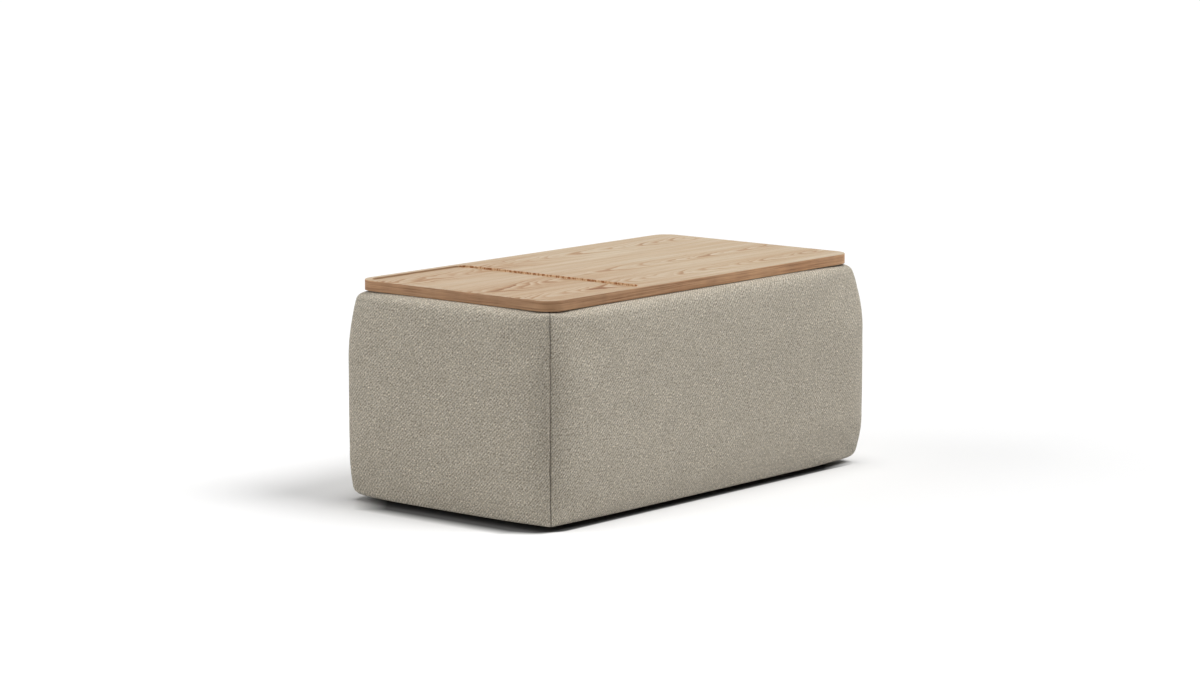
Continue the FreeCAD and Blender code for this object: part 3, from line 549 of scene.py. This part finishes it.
def cloth_material(name, colour, pitch, spread):
    """A plain fine weave, drawn from the part's own coordinates, with painted shade where its yarns dip."""
    g = Graph(name)
    place = g.place()
    x, y, z = g.parts(g.scaled(place, (math.pi / pitch,) * 3))
    weave = g.math("MULTIPLY", g.math("SINE", g.math("ADD", x, y)), g.math("SINE", g.math("ADD", z, y)))
    height = g.math("ABSOLUTE", weave)
    fleck = g.noise(place, scale=900.0, detail=3.0)
    cloud = g.noise(place, scale=30.0, detail=3.0)
    tone = g.shade(colour, fleck, MIDDLE_RANGE, dark=1 - spread, light=1 + spread)
    tone = g.shade(tone, cloud, NARROW_RANGE, dark=0.92, light=1.08)
    # Painted shade in the weave's hollows
    tone = g.shade(tone, height, FULL_RANGE, dark=0.8, light=1.05)
    return g.finish(
        Base_Color=tone, Roughness=0.95, Sheen_Weight=0.15, Sheen_Roughness=0.5,
        Normal=g.bump(height, distance=0.0003, strength=0.5),
    )


def metal_material(name, colour, roughness, axis):
    """Plated or anodised metal with fine brushing along one axis and faint clouding."""
    g = Graph(name)
    place = g.place()
    scratch = g.grain(place, across=2600.0, along=40.0, axis=axis)
    cloud = g.noise(place, scale=60.0, detail=3.0)
    tone = g.shade(colour, scratch, WIDE_RANGE, dark=0.88, light=1.1)
    tone = g.shade(tone, cloud, NARROW_RANGE, dark=0.92, light=1.06)
    return g.finish(
        Base_Color=tone, Metallic=1.0,
        Roughness=g.span(scratch, *WIDE_RANGE, to_low=roughness - 0.08, to_high=roughness + 0.1),
        Normal=g.bump(scratch, distance=0.00008, strength=0.4),
    )


def moulded_material(name, colour, roughness):
    """Moulded plastic or rubber with a fine spark-eroded grain."""
    g = Graph(name)
    place = g.place()
    texture = g.noise(place, scale=2200.0)
    cloud = g.noise(place, scale=80.0, detail=3.0)
    return g.finish(
        Base_Color=g.shade(colour, cloud, NARROW_RANGE, dark=0.85, light=1.15),
        Roughness=g.span(texture, *WIDE_RANGE, to_low=roughness - 0.08, to_high=roughness + 0.08),
        Normal=g.bump(texture, distance=0.00006, strength=0.5),
    )


# Upholstered sides
def arc_row(centre, radius, start, end, count):
    """Points along a profile arc, as (standoff, height)."""
    angles = np.linspace(start, end, count)
    return np.column_stack([centre[0] + radius * np.cos(angles), centre[1] + radius * np.sin(angles)])


def line_row(start, end, count):
    """Points along a straight stretch of a profile, without its end."""
    return np.linspace(start, end, count + 1)[:-1]


def eased_row(start, end, count):
    """The same for a stretch that leaves its start level and bends towards the height of its end."""
    row = line_row(start, end, count)
    row[:, 1] = start[1] + (end[1] - start[1]) * line_row(0.0, 1.0, count) ** EASE_POWER
    return row


def rolled_edge(standoff, crest, roll, edge, ease):
    """Points of a rolled edge, from its crest over a tight arc and a wide one to the upright face."""
    upward = 1 if edge > ease else -1
    depth = abs(edge - ease) - roll
    lean = 2 * math.atan2(standoff - crest - roll, depth)
    reach = depth / math.sin(lean)
    ease_centre = (standoff - reach - roll, ease)
    roll_centre = arc_row(ease_centre, reach, upward * lean, 0.0, 1)[0]
    tight = arc_row(roll_centre, roll, upward * math.pi / 2, upward * lean, TIGHT_ROWS)
    wide = arc_row(ease_centre, reach + roll, upward * lean, 0.0, WIDE_ROWS)
    return np.concatenate([tight, wide[1:]])


def quads(first, second):
    """Four-cornered faces between two rows, or two blocks of rows, of point numbers."""
    return np.stack([first[:-1], first[1:], second[1:], second[:-1]], axis=-1).reshape(-1, 4)


class Side:
    """One upholstered side, drawn as the front one and turned to its place."""

    def __init__(self, name, panel, turn, crown_power, fullness, recess):
        self.name = name
        self.turn = Matrix.Rotation(math.radians(turn), 4, "Z")
        self.crown_power = crown_power
        self.fullness = fullness
        self.recess = recess
        flat = self.turn.transposed()
        panel = [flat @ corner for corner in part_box(panel)]
        cover = [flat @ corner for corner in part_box(name + "_cover")]
        self.face = -min(corner.y for corner in panel)
        self.wall = self.face + max(corner.y for corner in panel)
        self.wall_low, self.wall_top = (corner.z for corner in panel)
        self.low, self.top = (corner.z for corner in cover)
        carcass_low, carcass_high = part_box("front_panel")
        self.half_span = carcass_high.x if turn % 180 == 0 else -carcass_low.y
        self.standoff = max(corner.x for corner in cover) - self.half_span
        self.crown = -min(corner.y for corner in cover) - self.face - self.standoff
        self.half = self.half_span + self.standoff
        is_rear = name == "rear"
        self.crest_shift = REAR_CREST_SHIFT if is_rear else TOP_CREST_SHIFT
        self.roll_swell = REAR_ROLL_SWELL if is_rear else TOP_ROLL_SWELL
        self.crest_rise = 0.0 if is_rear else TOP_CREST_RISE
        self.shares = self.column_shares()

    def column_shares(self):
        """Places of the columns from seam to seam, as shares of the half length, closer at the seams."""
        count = round((self.half - SEAM_COLUMNS[-1]) / CELL)
        steps = np.concatenate([SEAM_COLUMNS, np.linspace(SEAM_COLUMNS[-1], self.half, count + 1)[1:]])
        left = steps / self.half - 1
        return np.concatenate([left, -left[-2::-1]])

    def seam_distance(self):
        """Each column's distance from the nearest seam."""
        return (1 - np.abs(self.shares)) * self.half

    def face_rows(self, share):
        """The padded face's profile at a share of the half length, from the top's crest to the bottom's."""
        swell = 1 - abs(share) ** self.crown_power
        shoulder = 1 - math.exp(-(1 - abs(share)) * self.half / SHOULDER_START)
        fullness = np.interp(share, (-1, 1), self.fullness)
        standoff = self.standoff + (self.crown - SHOULDER_RISE) * swell + SHOULDER_RISE * shoulder + fullness
        ends = zip((-1, 1), self.recess)
        drawn = sum(recess * math.exp(-abs(share - end) * self.half / RECESS_REACH) for end, recess in ends)
        standoff -= drawn
        top = rolled_edge(
            standoff, TOP_CREST + self.crest_shift * swell + RECESS_CREST * drawn,
            TOP_ROLL + self.roll_swell * swell - RECESS_ROLL * drawn,
            self.top + self.crest_rise * swell, self.top - TOP_EASE,
        )
        low = rolled_edge(
            standoff, BOTTOM_CREST + BOTTOM_CREST_SHIFT * swell + RECESS_CREST * drawn,
            BOTTOM_ROLL + BOTTOM_ROLL_SWELL * swell - RECESS_ROLL * drawn,
            self.low - BOTTOM_DROP, self.low + BOTTOM_EASE,
        )
        return np.concatenate([top[:-1], line_row(top[-1], low[-1], UPRIGHT_ROWS), low[::-1]])

    def outer_rows(self, share):
        """The cover's outer profile: its hem inside the box, its top, its face and its hem underneath."""
        face = self.face_rows(share)
        inside = -self.wall - (self.top - self.wall_top)
        hem = line_row((inside, self.wall_top - INNER_HEM), (inside, self.top - HEM_BEND), HEM_ROWS)
        bend = [(inside, self.top - HEM_BEND)]
        over = eased_row((inside + HEM_BEND, self.top), face[0], OVER_ROWS)
        under = eased_row((-UNDER_HEM, self.low), face[-1], UNDER_ROWS)[::-1]
        return np.concatenate([hem, bend, over, face, under])

    def back_rows(self, face_count):
        """The same number of points on the panel's own surface, behind the cover."""
        hem_low = (-self.wall - BACK_GAP, self.wall_top - INNER_HEM)
        inner_top = (-self.wall - BACK_GAP, self.wall_top + BACK_GAP)
        outer_top = (BACK_GAP, self.wall_top + BACK_GAP)
        outer_low = (BACK_GAP, self.wall_low - BACK_GAP)
        under_end = (-UNDER_HEM, self.wall_low - BACK_GAP)
        return np.concatenate([
            line_row(hem_low, inner_top, HEM_ROWS + 1),
            line_row(inner_top, outer_top, OVER_ROWS),
            np.linspace(outer_top, outer_low, face_count),
            line_row(under_end, outer_low, UNDER_ROWS)[::-1],
        ])

    def outer_sheet(self):
        """Columns of outer points, which spread from the middle to the mitre planes at the side's ends."""
        profiles = np.stack([self.outer_rows(share) for share in self.shares])
        places = self.shares[:, None] * (self.half_span + profiles[:, :, 0])
        return np.stack([places, -self.face - profiles[:, :, 0], profiles[:, :, 1]], axis=-1)

    def back_sheet(self, face_count):
        """Columns of points behind the cover."""
        rows = self.back_rows(face_count)
        places = self.shares[:, None] * (self.half_span + rows[None, :, 0])
        depth = np.broadcast_to(-self.face - rows[:, 0], places.shape)
        height = np.broadcast_to(rows[:, 1], places.shape)
        return np.stack([places, depth, height], axis=-1)

    def sheet(self):
        """The cover's outer points in columns and rows, and which of them are free to swell."""
        outer = self.outer_sheet()
        columns, rows, _ = outer.shape
        self.face_start = HEM_ROWS + 1 + OVER_ROWS
        self.face_end = rows - UNDER_ROWS
        free = np.zeros((columns, rows), bool)
        free[1:-1, self.face_start:self.face_end] = True
        return outer, free

    def build(self, outer):
        """The side's closed mesh: outer sheet, back sheet on the panel, and strips that join their rims."""
        columns, rows, _ = outer.shape
        back = self.back_sheet(self.face_end - self.face_start)
        front = np.arange(columns * rows).reshape(columns, rows)
        behind = front + columns * rows
        faces = [
            quads(front[:, :-1], front[:, 1:])[:, ::-1],
            quads(behind[:, :-1], behind[:, 1:]),
            quads(front[:, 0], behind[:, 0]),
            quads(behind[:, -1], front[:, -1]),
            quads(behind[0], front[0]),
            quads(front[-1], behind[-1]),
        ]
        mesh = bpy.data.meshes.new(self.name + "_upholstery")
        points = np.concatenate([outer.reshape(-1, 3), back.reshape(-1, 3)])
        mesh.from_pydata(points.tolist(), [], np.concatenate(faces).tolist())
        steps = np.linalg.norm(np.diff(outer[columns // 2], axis=0), axis=1)
        run = -np.concatenate([[0.0], np.cumsum(steps)])
        corners = np.zeros(len(mesh.loops), dtype=np.int32)
        mesh.loops.foreach_get("vertex_index", corners)
        for name, across in (("weave", self.shares * self.half), ("seam", self.seam_distance())):
            places = np.stack(np.meshgrid(across, run, indexing="ij"), axis=-1).reshape(-1, 2)
            places = np.concatenate([places, places])[corners]
            mesh.uv_layers.new(name=name).data.foreach_set("uv", places.astype(np.float32).ravel())
        mesh.transform(self.turn)
        mesh.shade_smooth()
        piece = bpy.data.objects.new(self.name + "_upholstery", mesh)
        scene.collection.objects.link(piece)
        return piece


def puff(sheet, free):
    """A sheet after a short cloth simulation that swells its free part, each point within a limit."""
    start = sheet.copy()
    rise = np.cumsum(free, axis=1) / np.maximum(free.sum(axis=1, keepdims=True), 1)
    start[:, :, 1] += START_SHRINK * np.where(free, np.sin(math.pi * rise), 0)
    numbers = np.arange(free.size).reshape(free.shape)
    faces = quads(numbers[:, :-1], numbers[:, 1:])[:, ::-1]
    mesh = bpy.data.meshes.new("swelling")
    mesh.from_pydata(start.reshape(-1, 3).tolist(), [], faces.tolist())
    piece = bpy.data.objects.new("swelling", mesh)
    scene.collection.objects.link(piece)
    held = piece.vertex_groups.new(name="held")
    held.add([int(number) for number in numbers[~free]], 1.0, "REPLACE")
    cloth = piece.modifiers.new("Cloth", "CLOTH")
    cloth.settings.vertex_group_mass = "held"
    cloth.settings.use_pressure = True
    cloth.settings.uniform_pressure_force = PUFF_PRESSURE
    cloth.settings.effector_weights.gravity = 0.0
    cloth.point_cache.frame_start = 1
    cloth.point_cache.frame_end = PUFF_FRAMES
    for frame_number in range(1, PUFF_FRAMES + 1):
        scene.frame_set(frame_number)
    swollen = piece.evaluated_get(bpy.context.evaluated_depsgraph_get())
    points = np.zeros(start.size, np.float32)
    swollen.data.vertices.foreach_get("co", points)
    shift = points.reshape(start.shape) - start
    length = np.linalg.norm(shift, axis=-1, keepdims=True)
    bpy.data.objects.remove(piece)
    bpy.data.meshes.remove(mesh)
    scene.frame_set(1)
    return start + shift * PUFF_LIMIT / (PUFF_LIMIT + length)


def draw_seams(side, sheet):
    """Draw the cover in along its corner seams, which wander a little."""
    reach = side.seam_distance()
    outward = np.sign(side.shares)[:, None]
    draw = (SEAM_DRAW * np.exp(-reach / SEAM_DRAW_REACH))[:, None] / math.sqrt(2)
    wander = sum(size * np.sin(2 * math.pi * sheet[:, :, 2] / length) for size, length in SEAM_WAVES)
    wander = wander * np.exp(-reach / SEAM_WAVE_REACH)[:, None]
    sheet[:, :, 0] += wander - outward * draw
    sheet[:, :, 1] += outward * wander + draw


def press_under_hinges(side, sheet):
    """Press the cover flat on the wall's top where the hinges' fixed leaves lie on it."""
    limit = side.wall_top - HINGE_PRESS_TOP
    for name in ("hinge_left", "hinge_middle", "hinge_right"):
        low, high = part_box(name + "_fixed_leaf")
        middle = -(low.x + high.x) / 2
        aside = np.abs(sheet[:, :, 0] - middle) - (high.x - low.x) / 2 - HINGE_PRESS_SIDE
        share = np.clip(1 - aside / HINGE_PRESS_FADE, 0, 1)
        sheet[:, :, 2] -= np.maximum(sheet[:, :, 2] - limit, 0) * share


# Name, panel, turn in degrees, crown's power, and the fullness and recess at its left and right seams
SIDES = (
    ("front", "front_panel", 0, FRONT_CROWN_POWER, (0.0, FRONT_RIGHT_FULLNESS), (NEAR_RECESS, 0.0)),
    ("right", "right_end_panel", 90, END_CROWN_POWER, (FRONT_RIGHT_FULLNESS, 0.0), (0.0, 0.0)),
    ("rear", "rear_panel", 180, FRONT_CROWN_POWER, (0.0, REAR_LEFT_FULLNESS), (0.0, 0.0)),
    ("left", "left_end_panel", 270, END_CROWN_POWER, (REAR_LEFT_FULLNESS, 0.0), (0.0, NEAR_RECESS)),
)


def make_upholstery():
    """The four padded sides, each for a cover and its foam."""
    fabric = upholstery_material()
    for name, *form in SIDES:
        side = Side(name, *form)
        sheet, free = side.sheet()
        sheet = puff(sheet, free)
        draw_seams(side, sheet)
        if name == "rear":
            press_under_hinges(side, sheet)
        piece = side.build(sheet)
        piece.data.materials.append(fabric)
        smooth = piece.modifiers.new("Smooth", "SUBSURF")
        smooth.levels = smooth.render_levels = 1
        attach(piece, "base")
        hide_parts(name + "_cover", name + "_foam")


def make_dust_cover():
    """The thin black sheet stretched under the box, puckered along its edges and sagging a little."""
    low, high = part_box("dust_cover")
    size = high - low
    across, deep = np.meshgrid(
        np.linspace(low.x, high.x, round(size.x / DUST_CELL) + 1),
        np.linspace(low.y, high.y, round(size.y / DUST_CELL) + 1), indexing="ij"
    )
    sag = DUST_SAG * (np.cos(math.pi * across / size.x) * np.cos(math.pi * deep / size.y)) ** 2
    inset = np.minimum(high.x - np.abs(across), high.y - np.abs(deep))
    wave = np.sin(2 * math.pi * (across + deep) / DUST_PUCKER_PITCH) - 1
    pucker = DUST_PUCKER * wave * np.exp(-inset / DUST_PUCKER_REACH)
    points = np.stack([across, deep, high.z - sag + pucker], axis=-1)
    numbers = np.arange(across.size).reshape(across.shape)
    faces = quads(numbers[:, :-1], numbers[:, 1:])
    mesh = bpy.data.meshes.new("dust_cover_sheet")
    mesh.from_pydata(points.reshape(-1, 3).tolist(), [], faces.tolist())
    mesh.shade_smooth()
    mesh.materials.append(cloth_material("dust_cloth", DUST_COLOUR, pitch=0.0009, spread=0.2))
    piece = bpy.data.objects.new("dust_cover_sheet", mesh)
    scene.collection.objects.link(piece)
    thickness = piece.modifiers.new("Thickness", "SOLIDIFY")
    thickness.thickness = DUST_THICKNESS
    thickness.offset = -1.0
    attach(piece, "base")
    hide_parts("dust_cover")


# Finishes of the pieces that keep their CAD shape
def paint(names, material):
    """Give some CAD nodes one material."""
    for name in names:
        slots = nodes[name].data.materials
        slots.clear()
        slots.append(material)


def make_finishes():
    """Paint every CAD node that shows."""
    def starting(*starts):
        return [name for name in nodes if name.startswith(starts)]

    def ending(end):
        return [name for name in nodes if name.endswith(end)]

    paint(["lid_board"], oak_material())
    battens = plain_wood_material("batten_wood", BATTEN_LIGHT, BATTEN_DARK, Y_AXIS)
    paint(["lid_batten_left", "lid_batten_right"], battens)
    paint(ending("_panel"), plain_wood_material("plywood", PLYWOOD_LIGHT, PLYWOOD_DARK, X_AXIS))
    paint(ending("_lining"), cloth_material("lining_cloth", LINING_COLOUR, pitch=0.0012, spread=0.12))
    hinges = [name for name in starting("hinge_") if not name.endswith("_screws")]
    paint(hinges, metal_material("zinc_steel", ZINC_COLOUR, roughness=0.5, axis=X_AXIS))
    stays = starting("stay_arm", "stay_bracket_l", "stay_bracket_r", "stay_pin")
    paint(stays, metal_material("stay_steel", STAY_COLOUR, roughness=0.48, axis=Y_AXIS))
    paint(ending("_screws"), metal_material("screw_zinc", SCREW_COLOUR, roughness=0.48, axis=Z_AXIS))
    rails = metal_material("rail_aluminium", RAIL_COLOUR, roughness=0.46, axis=Y_AXIS)
    paint(["stay_rail_left", "stay_rail_right"], rails)
    sliders = moulded_material("nylon", NYLON_COLOUR, roughness=0.45)
    paint(["stay_slider_left", "stay_slider_right"], sliders)
    glides = moulded_material("black_plastic", GLIDE_COLOUR, roughness=0.5)
    paint(starting("glide_front", "glide_rear"), glides)
    paint(["lid_bumpers"], moulded_material("bumper_rubber", BUMPER_COLOUR, roughness=0.6))


# Stage
def make_floor():
    """A pale floor that shows white to the camera, keeps the object's shadow, and has a painted shadow under
    the object.
    """
    half = FLOOR_SIZE / 2
    corners = [(-half, -half, 0), (half, -half, 0), (half, half, 0), (-half, half, 0)]
    mesh = bpy.data.meshes.new("floor")
    mesh.from_pydata(corners, [], [(0, 1, 2, 3)])
    floor = bpy.data.objects.new("floor", mesh)
    scene.collection.objects.link(floor)
    g = Graph("floor")
    bounce = (FLOOR_BOUNCE, FLOOR_BOUNCE, FLOOR_BOUNCE, 1.0)
    g.finish(Base_Color=bounce, Roughness=0.9, Specular_IOR_Level=0.1)

    # The painted shadow: dark under the object's footprint, reaching further out along the left end and
    # fading past its two slanted ends
    place = g.place()
    x, y, _ = g.parts(place)
    inset = FOOT_INSET + FOOT_ROUND
    outside = g.outside(place, cad_high.x - inset, cad_high.y - inset)
    from_near = g.span(y, cad_low.y, cad_low.y + FOOT_NEAR)
    left = g.math("MULTIPLY", g.span(x, cad_low.x + FOOT_LEFT, cad_low.x), from_near)
    start = g.span(left, *FULL_RANGE, FOOT_ROUND - FOOT_FADE, FOOT_ROUND + FOOT_LEFT_FADE[0])
    end = g.span(left, *FULL_RANGE, FOOT_ROUND, FOOT_ROUND + FOOT_LEFT_FADE[1])
    slant = g.math("MULTIPLY", y, -math.cos(FOOT_SLANT))
    slant = g.math("MULTIPLY_ADD", x, math.sin(FOOT_SLANT), slant)
    past_ends = g.span(g.math("ABSOLUTE", slant), *FOOT_ENDS)
    clear_of_painted_shadow = g.math("MAXIMUM", g.span(outside, start, end), past_ends)
    level = g.span(clear_of_painted_shadow, *FULL_RANGE, FLOOR_PAINTED_SHADOW, FLOOR_WHITE)
    white = g.add("ShaderNodeBsdfDiffuse")
    g.feed(white.inputs["Color"], g.vector(level, level, level))
    glow = g.add("ShaderNodeEmission")
    lift = g.span(outside, FOOT_ROUND - FOOT_FADE, FOOT_ROUND + FOOT_FADE, to_high=FLOOR_LIFT)
    g.feed(glow.inputs["Strength"], lift)
    seen = g.add("ShaderNodeAddShader")
    g.feed(seen.inputs[0], white.outputs["BSDF"])
    g.feed(seen.inputs[1], glow.outputs["Emission"])

    choice = g.add("ShaderNodeMixShader")
    path = g.add("ShaderNodeLightPath").outputs
    reflected = g.math("MAXIMUM", path["Is Glossy Ray"], path["Is Transmission Ray"])
    g.feed(choice.inputs["Fac"], g.math("MAXIMUM", path["Is Camera Ray"], reflected))
    g.feed(choice.inputs[1], g.shader.outputs["BSDF"])
    g.feed(choice.inputs[2], seen.outputs["Shader"])
    g.feed(g.output.inputs["Surface"], choice.outputs["Shader"])
    mesh.materials.append(g.material)


def sun(name, azimuth, elevation, strength, angle):
    """A soft distant lamp. Its azimuth, from +X towards +Y, and elevation say where the light comes from."""
    data = bpy.data.lights.new(name, "SUN")
    data.energy = strength
    data.angle = math.radians(angle)
    lamp = bpy.data.objects.new(name, data)
    a, e = math.radians(azimuth), math.radians(elevation)
    towards = Vector((math.cos(a) * math.cos(e), math.sin(a) * math.cos(e), math.sin(e)))
    lamp.rotation_mode = "QUATERNION"
    lamp.rotation_quaternion = towards.to_track_quat("Z", "Y")
    scene.collection.objects.link(lamp)


def make_light():
    """Soft lamps from the front right, right, rear left and above, in a dim world that shows white."""
    world = bpy.data.worlds.new("studio")
    scene.world = world
    world.use_nodes = True
    tree = world.node_tree
    background = tree.nodes["Background"]
    background.inputs["Color"].default_value = (1, 1, 1, 1)
    path = tree.nodes.new("ShaderNodeLightPath")
    shown = path.outputs["Is Camera Ray"]
    for ray in ("Is Glossy Ray", "Is Transmission Ray"):
        either = tree.nodes.new("ShaderNodeMath")
        either.operation = "MAXIMUM"
        tree.links.new(shown, either.inputs[0])
        tree.links.new(path.outputs[ray], either.inputs[1])
        shown = either.outputs["Value"]
    strength = tree.nodes.new("ShaderNodeMix")
    tree.links.new(shown, strength.inputs[0])
    strength.inputs[2].default_value = WORLD_LIGHT
    strength.inputs[3].default_value = 1.0
    tree.links.new(strength.outputs[0], background.inputs["Strength"])
    for lamp in LAMPS:
        sun(*lamp)


def make_camera():
    """A camera at the picture's own place, level from side to side."""
    data = bpy.data.cameras.new("camera")
    data.sensor_fit = "HORIZONTAL"
    data.sensor_width = SENSOR_WIDTH
    data.lens = FOCAL_PIXELS / IMAGE_WIDTH * SENSOR_WIDTH
    data.clip_end = CAMERA_REACH
    camera = bpy.data.objects.new("camera", data)
    heading = Vector((math.cos(CAMERA_HEADING), math.sin(CAMERA_HEADING), 0))
    right = Vector((heading.y, -heading.x, 0))
    forward = heading * math.cos(CAMERA_PITCH) - Vector((0, 0, math.sin(CAMERA_PITCH)))
    up = right.cross(forward)
    turn = Matrix((right, up, -forward)).transposed()
    camera.matrix_world = Matrix.Translation(CAMERA_PLACE) @ turn.to_4x4()
    scene.collection.objects.link(camera)
    scene.camera = camera


make_camera()
make_upholstery()
make_dust_cover()
make_finishes()
make_floor()
make_light()
